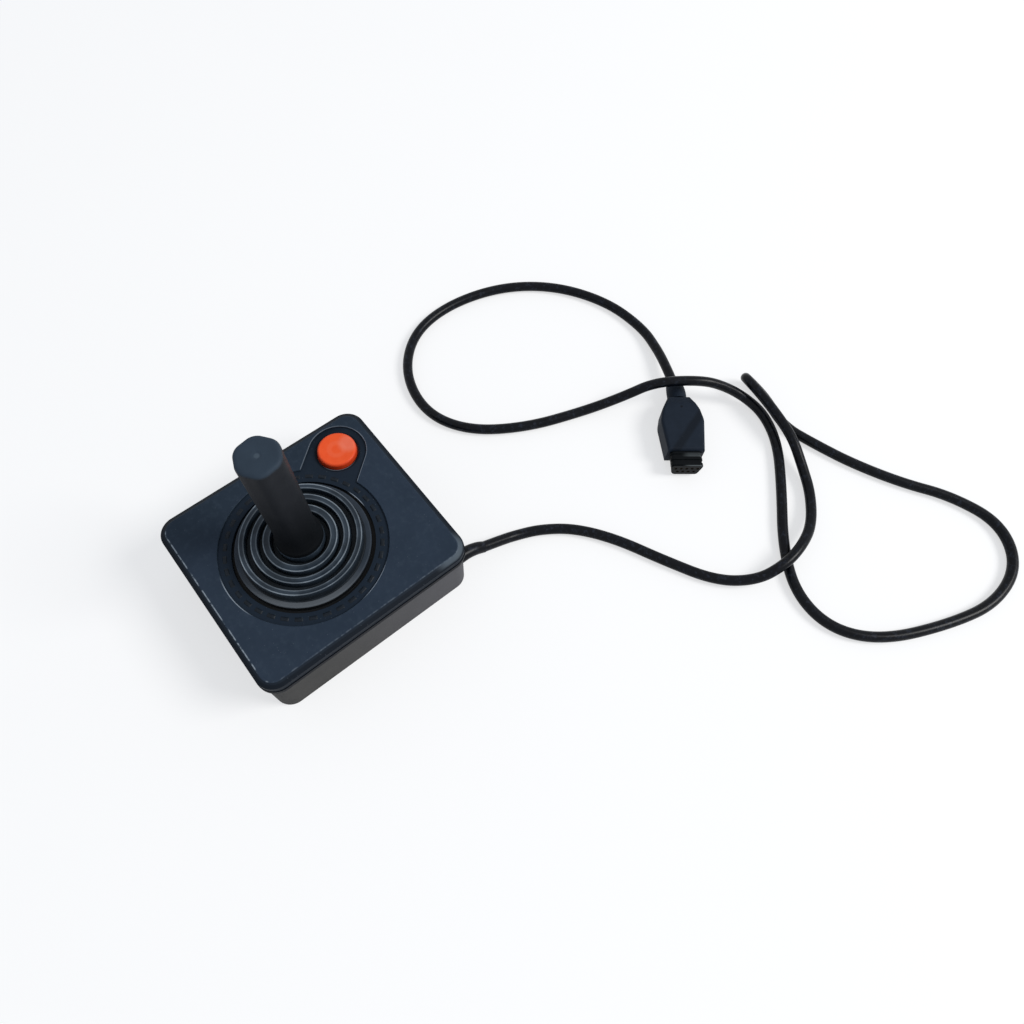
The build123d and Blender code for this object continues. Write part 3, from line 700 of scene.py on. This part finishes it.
EDGE_OFFSET = 0.12
BUTTON = (-30.3, 33.0)
RING_RADIUS = 37.0
POCKET_RADIUS = 13.3
OPENING_RADIUS = 31.2
HOLE_RADIUS = 9.6
LID_TOP = 35.5
TOP_HALF_X, TOP_HALF_Y, TOP_CORNER = 44.5, 49.2, 6.0
BEVEL_FOOT = 33.6
GROOVE_TOP = 30.8
PAINTED_HIGHLIGHT_CORNER = (44.5, 45.0)
RING_GLINTS = [(3.0, -41.5), (34.0, 11.0)]
RIM_GLINT = (-4.9, 26.5)
HOLE_GLINT = (-22.5, 29.0)
lid_finish = Finish("lid plastic", Specular_IOR_Level=0.06)
x, y, z = lid_finish.position()
mottle = lid_finish.noise(16, 4)
smudge = lid_finish.noise(3.2, 5, 0.65)
grain = lid_finish.noise(0.45, 2)
dust = lid_finish.specks(1.3, 0.14, 0.22)
top_edge = rounded_rectangle(x, y, TOP_HALF_X, TOP_HALF_Y, TOP_CORNER)
on_top = z.ramp(LID_TOP - 0.5, LID_TOP - 0.2)
in_recess = 1 - z.ramp(LID_TOP - 0.8, LID_TOP - 0.5)
# Painted shade on the bevel, the sloped edge of the lid's top.
bevel_painted_shade = top_edge.ramp(0.1, 0.5) * z.ramp(BEVEL_FOOT, BEVEL_FOOT + 0.5)
# Painted shade in the groove at the lid's lower edge and below it.
groove_painted_shade = 1 - z.ramp(GROOVE_TOP - 0.5, GROOVE_TOP)
front_side = 1 - y.ramp(-49.0, -47.0)
right_side = x.ramp(42.5, 44.0) * (1 - front_side)
broken = smudge.ramp(0.42, 0.6)
# Painted highlight: a broad soft band of light near one corner of the top.
corner_painted_highlight = spot(x, y, PAINTED_HIGHLIGHT_CORNER, 12.0) * line(top_edge - 1.0, 1.6)
# Painted highlight: a broken light line along the inner line of the bevel, mostly on the front.
painted_edge_highlight = line(top_edge, 0.36) * on_top * broken * (front_side * 0.8 + right_side * 0.15)
from_stick = away(x, y, STICK)
ring_edge = from_stick - RING_RADIUS
to_button = np.array(BUTTON) - np.array(STICK)
button_reach = np.hypot(*to_button)
forward = to_button / button_reach
aside = (forward[1], -forward[0])
side_way = offset_along(x, y, STICK, aside)
along_way = offset_along(x, y, STICK, forward)
past = (along_way - button_reach).most(0)
pocket_edge = (side_way**2 + past**2).root() - POCKET_RADIUS
# Painted shade: the floor of the button's pocket is darkened.
pocket_painted_shade = in_recess * ring_edge.ramp(-1.0, 4.0) * top_edge.ramp(-9.0, -1.0)
# Painted highlights along the edges of the ring recess, the pocket, the opening and the button
# hole.
front_glint, right_glint = RING_GLINTS
ring_spots = (spot(x, y, front_glint, 13) * 0.8 + spot(x, y, right_glint, 11)).least(1)
ring_line = line(ring_edge - EDGE_OFFSET, 0.36) * ring_spots * 0.9
pocket_line = line(pocket_edge - EDGE_OFFSET, 0.3) * ring_edge.ramp(0.0, 1.0)
pocket_line = pocket_line * along_way.ramp(20.0, 25.0) * (0.25 + side_way.ramp(0.0, 10.0) * 0.35)
rim_line = line(from_stick - OPENING_RADIUS, 0.3) * spot(x, y, RIM_GLINT, 6)
from_button = away(x, y, BUTTON)
hole_shade = line(from_button - HOLE_RADIUS, 1.3)
hole_line = line(from_button - HOLE_RADIUS - 0.1, 0.25) * spot(x, y, HOLE_GLINT, 9) * 0.3
painted_edge_lines = (ring_line + pocket_line) * on_top + rim_line + hole_line
# Painted shade: the lid darkens towards its left side, where the stick's shadow falls.
left_painted_shade = 1 - x.ramp(-44.0, -14.0)
lid_colour = lid_finish.coats(
    mottle,
    (35, 45, 57),
    (46, 57, 71),
    (left_painted_shade * 0.5, (30, 40, 49)),
    (smudge.ramp(0.45, 0.75) * 0.35, (56, 67, 79)),
    # Painted shade on the recess floors.
    (in_recess * 0.75, (20, 29, 39)),
    (pocket_painted_shade * 0.7, (10, 18, 28)),
    (hole_shade * 0.75, (8, 12, 18)),
    (bevel_painted_shade * 0.75, (20, 25, 31)),
    (dust * 0.4, (104, 112, 120)),
    (groove_painted_shade * 0.8, (12, 15, 19)),
    (corner_painted_highlight * 0.4, (110, 122, 132)),
    (painted_edge_highlight, (150, 160, 168)),
    (painted_edge_lines.least(1), (150, 160, 170)),
)
lid_roughness = 0.44 + smudge * 0.16
lid_bump = grain * 0.6 + smudge * 0.6
lid_material = lid_finish.paint(lid_colour, lid_roughness, lid_bump, 0.03)
dress(lid_material, "lid")

mark_finish = Finish("raised marks", Specular_IOR_Level=0.12)
cloud = mark_finish.noise(1.6, 4)
mark_colour = mark_finish.coats(cloud, (6, 9, 13), (30, 38, 47))
mark_material = mark_finish.paint(mark_colour, 0.36 + cloud * 0.2, cloud, 0.02)
dress(mark_material, "ring_marks")

LIP_BOTTOM = 27.8
shell_finish = Finish("shell plastic", Specular_IOR_Level=0.06)
x, y, z = shell_finish.position()
mottle = shell_finish.noise(11, 4)
grain = shell_finish.noise(0.6, 3, 0.7)
dust = shell_finish.specks(1.8, 0.14, 0.25)
# The shell is paler towards the back.
paler_to_back = y.ramp(-40.0, 52.0)
# Painted shade on the top of the shell, just under the lid's lip.
shade_under_lip = z.ramp(LIP_BOTTOM - 2.3, LIP_BOTTOM - 0.8)
shell_colour = shell_finish.coats(
    mottle,
    (58, 58, 57),
    (74, 73, 72),
    (paler_to_back * 0.55, (92, 92, 97)),
    (shade_under_lip * 0.8, (16, 17, 20)),
    (dust * 0.3, (124, 124, 124)),
)
shell_material = shell_finish.paint(shell_colour, 0.6 + grain * 0.15, grain, 0.06)
dress(shell_material, "lower_shell")

# %% [markdown]
# ## Rubber
# The boot is glossier than the case, with painted shade in its valleys, painted highlights
# on its crests and thin painted highlights along the edges of its ridges. Its flange band
# has painted light on one side and painted shade at its foot. The height alone says how
# deep in a valley a point is, and the finish reads each point's place at rest, so its
# lines stay on the ridges when the boot bends. The grip is smooth and duller, darker
# towards its foot, with a painted reflection on its end and a painted highlight in its
# dimple.

# %% Rubber
CREST_LEVEL = 41.8
EDGE_INSET, EDGE_WIDTH = 0.28, 0.34
BAND_LIGHT = (22.0, -21.0)
boot_finish = Finish("boot rubber", Specular_IOR_Level=0.14)
rest_attribute = {"attribute_name": "rest_place"}
boot_finish.place = boot_finish.node("ShaderNodeAttribute", rest_attribute, output="Vector")
x, y, z = boot_finish.position()
radius = away(x, y, STICK)
# Painted shade in the valleys between the ridges.
valley = 1 - z.ramp(WEB_TOP, CREST_LEVEL)
crest = z.ramp(CREST_LEVEL - 0.4, CREST_LEVEL + 0.3)
band = radius.ramp(SEAT_CUT, SEAT_CUT + 0.4)
cloud = boot_finish.noise(4.0, 4)
patchy = boot_finish.noise(9.0, 3).ramp(0.38, 0.62)
grain = boot_finish.noise(0.5, 2)
# Painted highlights: thin light lines along both edges of each ridge's crest.
painted_crest_highlights = sum(
    line(radius - centre - (half - EDGE_INSET), EDGE_WIDTH) * 0.75
    + line(radius - centre + (half - EDGE_INSET), EDGE_WIDTH) * 0.4
    for centre, half, _ in ridges
)
# Painted light on one side of the flange band.
band_painted_light = spot(x, y, BAND_LIGHT, 34.0)
# Painted shade on the flange band's wall below the lid top, in the gap by the opening.
band_foot_painted_shade = band * (1 - z.ramp(LID_TOP, LID_TOP + 0.7))
edge_light = painted_crest_highlights * crest * (patchy * 0.5 + 0.5)
dust = boot_finish.specks(1.6, 0.13, 0.2)
band_colour = boot_finish.coats(
    cloud, (34, 42, 51), (50, 58, 68), (band_painted_light * 0.9, (88, 93, 98))
)
boot_colour = boot_finish.coats(
    cloud,
    (26, 34, 42),
    (38, 47, 56),
    # Painted highlight on the crest tops.
    (crest * patchy * 0.55, (54, 65, 76)),
    (valley * (0.9 - patchy * 0.35), (13, 18, 23)),
    (band * 0.95, band_colour),
    (band_foot_painted_shade, (9, 11, 14)),
    (edge_light, (138, 148, 156)),
    (dust * 0.25, (110, 112, 112)),
)
boot_roughness = 0.28 + cloud * 0.14 + valley * 0.2
boot_material = boot_finish.paint(boot_colour, boot_roughness, grain, 0.02)
dress(boot_material, *[piece.name for piece in boot_pieces])

grip_finish = Finish("grip rubber", Specular_IOR_Level=0.05)
x, y, z = grip_finish.position()
cloud = grip_finish.noise(7.0, 4)
grain = grip_finish.noise(0.5, 2)
foot = 1 - z.ramp(46.0, 104.0)
on_end = z.ramp(GRIP_TOP - 2.0, GRIP_TOP - 0.4)
# Painted highlight: a small light spot in the end's dimple.
dimple_highlight = spot(x, y, STICK, 1.4)
# Painted reflection: the grip's end is lighter and bluer, as the sky reflects in it.
end_painted_reflection = grip_finish.coats(
    cloud, (43, 53, 64), (54, 66, 78), (dimple_highlight * 0.5, (84, 96, 106))
)
grip_colour = grip_finish.coats(
    cloud, (26, 28, 32), (38, 40, 44), (foot * 0.85, (6, 8, 10)), (on_end * 0.9, end_painted_reflection)
)
grip_material = grip_finish.paint(grip_colour, 0.4 + cloud * 0.16, grain, 0.02)
dress(grip_material, "grip")

# %% [markdown]
# ## Fire button
# One moulding in orange-red plastic, slightly mottled by handling, with painted shade
# round its rim, a painted highlight in a patch towards the light and a faint painted
# highlight ring in its dish.

# %% Fire button
BUTTON_RADIUS = 9.0
HIGHLIGHT_PATCH_PLACE = (BUTTON[0] + 0.6, BUTTON[1] + 6.0)
button_finish = Finish("button plastic", Specular_IOR_Level=0.16)
x, y, z = button_finish.position()
from_centre = away(x, y, BUTTON)
cloud = button_finish.noise(3.5, 4, 0.6)
# Painted shade round the button's rim.
rim_shade = from_centre.ramp(BUTTON_RADIUS - 1.2, BUTTON_RADIUS)
# Painted highlight: a soft pale patch on the side towards the light.
highlight_patch = (spot(x, y, HIGHLIGHT_PATCH_PLACE, 6.0) * (0.6 + cloud * 0.6)).least(1)
# Painted highlight: a faint light ring in the dish.
dish_highlight = line(from_centre - 3.4, 1.6) * 0.25
button_colour = button_finish.coats(
    cloud,
    (224, 72, 28),
    (234, 92, 46),
    (dish_highlight, (236, 112, 78)),
    (highlight_patch * 0.62, (232, 126, 100)),
    (rim_shade * 0.65, (176, 42, 14)),
)
button_material = button_finish.paint(button_colour, 0.34 + cloud * 0.2, cloud, 0.03)
dress(button_material, "fire_button")

# %% [markdown]
# ## Lead and plug
# Soft black vinyl with painted bluish highlight streaks, and handling dust on both. The
# plug's top has a round mark left by the moulding and a faint painted dark reflection
# across it. Painted highlights light the nose along its step and along its mouth.

# %% Lead and plug
PLUG_GATE = (42.7, 192.0)
BAND_PLACE, BAND_ACROSS = (53.7, 191.2), (0.955, 0.296)
PLUG_BACK = (36.77, 196.6)
PLUG_FORWARD = (0.7876, -0.6162)
PLUG_LEFT = (0.6162, 0.7876)
NOSE_STEP, NOSE_MOUTH = 35.2, 41.35
vinyl = Finish("lead vinyl", Specular_IOR_Level=0.12)
cloud = vinyl.noise(6.0, 3)
grain = vinyl.noise(0.6, 2)
# Painted highlights: bluish streaks on the dark vinyl.
highlight_streaks = vinyl.noise(2.2, 4, 0.7).ramp(0.52, 0.66)
dust = vinyl.specks(2.4, 0.12, 0.2)
vinyl_colour = vinyl.coats(
    cloud, (1, 2, 5), (9, 13, 20), (highlight_streaks * 0.4, (44, 50, 62)), (dust * 0.2, (90, 94, 100))
)
vinyl_material = vinyl.paint(vinyl_colour, 0.24 + cloud * 0.12, grain, 0.015)
dress(vinyl_material, "lead", "cord_grommet")

plug_finish = Finish("plug plastic", Specular_IOR_Level=0.07)
x, y, z = plug_finish.position()
cloud = plug_finish.noise(5.0, 4, 0.6)
grain = plug_finish.noise(0.5, 2)
dust = plug_finish.specks(1.6, 0.12, 0.2)
gate = spot(x, y, PLUG_GATE, 0.9)
# Painted dark reflection: a soft band across the plug's top.
painted_dark_reflection = line(offset_along(x, y, BAND_PLACE, BAND_ACROSS), 3.0) * z.ramp(10.0, 11.5)
plug_colour = plug_finish.coats(
    cloud,
    (20, 27, 36),
    (31, 39, 50),
    (painted_dark_reflection * 0.55, (8, 12, 17)),
    (dust * 0.2, (110, 114, 118)),
    (gate * 0.8, (8, 8, 10)),
)
plug_material = plug_finish.paint(plug_colour, 0.42 + cloud * 0.18, grain, 0.025)
dress(plug_material, "plug_body", "plug_strain_relief")

insert_finish = Finish("plug insert plastic", Specular_IOR_Level=0.06)
x, y, z = insert_finish.position()
ahead = offset_along(x, y, PLUG_BACK, PLUG_FORWARD)
leftward = offset_along(x, y, PLUG_BACK, PLUG_LEFT)
cloud = insert_finish.noise(4.0, 3)
on_nose = z.ramp(9.4, 9.9) * leftward.ramp(-3.0, 2.0)
# Painted highlights along the nose's step and along the edge of its mouth.
painted_edge_highlight = line(ahead - NOSE_STEP, 1.4) * 0.4 + line(ahead - NOSE_MOUTH, 0.35) * 0.9
insert_colour = insert_finish.coats(
    cloud, (3, 5, 7), (12, 16, 19), (painted_edge_highlight * on_nose, (92, 98, 100))
)
insert_material = insert_finish.paint(insert_colour, 0.3 + cloud * 0.15, cloud, 0.01)
dress(insert_material, "plug_insert")

# %% [markdown]
# ## Inside
# The parts in the case are seen only when it is opened, and each gets its own finish:
# milky nylon, a tan board, a clear tape, bare metals and coloured wires.

# %% Inside
def plain_finish(name, dark, light, lump, roughness, metallic):
    """A simple moulded or metal finish: two colours in clouds, and a fine bump."""
    finish = Finish(name, Metallic=metallic)
    cloud = finish.noise(lump, 4)
    fine = finish.noise(lump / 12, 2)
    base = finish.coats(cloud, dark, light)
    return finish.paint(base, roughness + cloud * 0.12, fine, 0.01)


screw_nodes = ["case_screws", "board_screws", "carrier_screws"]
sprung_nodes = ["button_spring", "stick_pivot_pin"]
inner_finishes = [
    ("core plastic", (188, 184, 170), (208, 204, 192), 6, 0.45, 0.0, ["stick_core"]),
    ("nylon", (205, 202, 190), (224, 222, 212), 8, 0.5, 0.0, ["stick_carrier", "gimbal_ring"]),
    ("board", (132, 98, 52), (158, 122, 70), 9, 0.55, 0.0, ["circuit_board"]),
    ("tape", (196, 180, 120), (214, 200, 150), 6, 0.25, 0.0, ["contact_tape"]),
    ("dome steel", (176, 176, 172), (206, 206, 202), 3, 0.25, 1.0, ["snap_domes"]),
    ("screw steel", (150, 150, 150), (186, 186, 188), 2, 0.32, 1.0, screw_nodes),
    ("spring steel", (140, 142, 146), (186, 188, 190), 3, 0.28, 1.0, sprung_nodes),
    ("post brass", (190, 150, 78), (222, 186, 108), 2, 0.3, 1.0, ["terminal_posts"]),
    # The contact brass is painted dark as shade for the deep holes of the plug.
    ("contact brass", (60, 48, 30), (84, 68, 44), 2, 0.42, 1.0, ["plug_sockets"]),
    ("terminal brass", (186, 160, 100), (214, 190, 130), 2, 0.34, 1.0, ["wire_terminals"]),
]
for name, dark, light, lump, roughness, metallic, pieces in inner_finishes:
    dress(plain_finish(name, dark, light, lump, roughness, metallic), *pieces)

wire_colours = [
    (190, 186, 180),
    (40, 92, 170),
    (44, 140, 70),
    (60, 42, 32),
    (222, 110, 40),
    (30, 30, 32),
]
wires = len(wire_colours)
stops = [(i / wires, colour(*wire_colour)) for i, wire_colour in enumerate(wire_colours)]
FIRST_WIRE_Y, WIRE_PITCH = 18.8, 2.54
wire_finish = Finish("wire plastic")
_, y, _ = wire_finish.position()
wire_cloud = wire_finish.noise(2.0, 2)
wire_share = ((y - FIRST_WIRE_Y) / WIRE_PITCH + 0.5) / wires
wire_base = wire_finish.node("ShaderNodeValToRGB", {"stops": stops}, {0: wire_share})
wire_base = wire_finish.mix(wire_cloud * 0.3, wire_base, colour(20, 20, 20))
dress(wire_finish.paint(wire_base, 0.4 + wire_cloud * 0.1, wire_cloud, 0.01), "inner_wires")

# %% [markdown]
# ## Light and floor
# A plain studio: one large soft lamp from the back right, as in the photograph, a pale
# bluish surround that fills the shadows, and a white floor that keeps the object's
# shadow. The floor is part plain white paper and part a steady white glow, so it stays
# white in the picture and in reflections, and the light on the object doesn't change.
# The studio is laid out in metres.

# %% Light and floor
def seen(tree, share):
    """The share for camera, mirror and glass rays, and 0 for the rays that carry light."""
    paths = tree.nodes.new("ShaderNodeLightPath")
    seen_by = paths.outputs["Is Camera Ray"]
    for ray in ("Is Glossy Ray", "Is Transmission Ray"):
        both = tree.nodes.new("ShaderNodeMath")
        both.operation = "MAXIMUM"
        tree.links.new(seen_by, both.inputs[0])
        tree.links.new(paths.outputs[ray], both.inputs[1])
        seen_by = both.outputs[0]
    part = tree.nodes.new("ShaderNodeMath")
    part.operation = "MULTIPLY"
    part.inputs[1].default_value = share
    tree.links.new(seen_by, part.inputs[0])
    return part.outputs[0]


def mix_shaders(tree, factor, first, second, out):
    """Both shaders into one output: the first at factor 0, the second at factor 1."""
    mixer = tree.nodes.new("ShaderNodeMixShader")
    tree.links.new(factor, mixer.inputs[0])
    tree.links.new(first, mixer.inputs[1])
    tree.links.new(second, mixer.inputs[2])
    tree.links.new(mixer.outputs[0], out)


FLOOR_HALF = 8.0
FLOOR_LEVEL = -0.0001
GLOW_SHARE = 0.62
floor_mesh = bpy.data.meshes.new("floor")
floor_corners = [(-1, -1), (1, -1), (1, 1), (-1, 1)]
floor_mesh.from_pydata(
    [(FLOOR_HALF * i, FLOOR_HALF * j, FLOOR_LEVEL) for i, j in floor_corners], [], [(0, 1, 2, 3)]
)
floor = bpy.data.objects.new("floor", floor_mesh)
bpy.context.scene.collection.objects.link(floor)
floor_finish = Finish("floor", Specular_IOR_Level=0.0, Roughness=0.9)
tone = floor_finish.noise(220, 2)
paper_tone = floor_finish.coats(tone, (248, 248, 248), (251, 251, 251))
floor_finish.feed(floor_finish.shader.inputs["Base Color"], paper_tone)
floor_tree = floor_finish.tree
glow = floor_tree.nodes.new("ShaderNodeEmission")
glow.inputs["Color"].default_value = (1, 1, 1, 1)
floor_out = floor_tree.nodes["Material Output"].inputs["Surface"]
paper = floor_finish.shader.outputs[0]
mix_shaders(floor_tree, seen(floor_tree, GLOW_SHARE), paper, glow.outputs[0], floor_out)
floor_mesh.materials.append(floor_finish.material)

LAMP_DISTANCE = 2.6
lamp_data = bpy.data.lights.new("key", "AREA")
lamp_data.shape = "DISK"
lamp_data.size = 1.1
lamp_data.energy = 52.0
lamp_data.color = (1.0, 0.985, 0.96)
lamp = bpy.data.objects.new("key", lamp_data)
bpy.context.scene.collection.objects.link(lamp)
lamp_aim = Vector((0.03, 0.09, 0.03))
lamp_from = Vector((0.68, 0.73, 0.95)).normalized()
lamp.location = lamp_aim + LAMP_DISTANCE * lamp_from
lamp.rotation_euler = lamp_from.to_track_quat("Z", "Y").to_euler()

world = bpy.data.worlds.new("studio")
bpy.context.scene.world = world
world.use_nodes = True
world_tree = world.node_tree
sky = world_tree.nodes["Background"]
sky.inputs["Color"].default_value = colour(226, 234, 246)
sky.inputs["Strength"].default_value = 0.62
backdrop = world_tree.nodes.new("ShaderNodeBackground")
backdrop.inputs["Color"].default_value = (1, 1, 1, 1)
backdrop.inputs["Strength"].default_value = 1.0
world_out = world_tree.nodes["World Output"].inputs["Surface"]
mix_shaders(world_tree, seen(world_tree, 1.0), sky.outputs[0], backdrop.outputs[0], world_out)
bpy.context.scene.view_settings.view_transform = "Standard"
print("lamp at m:", [round(c, 2) for c in lamp.location])
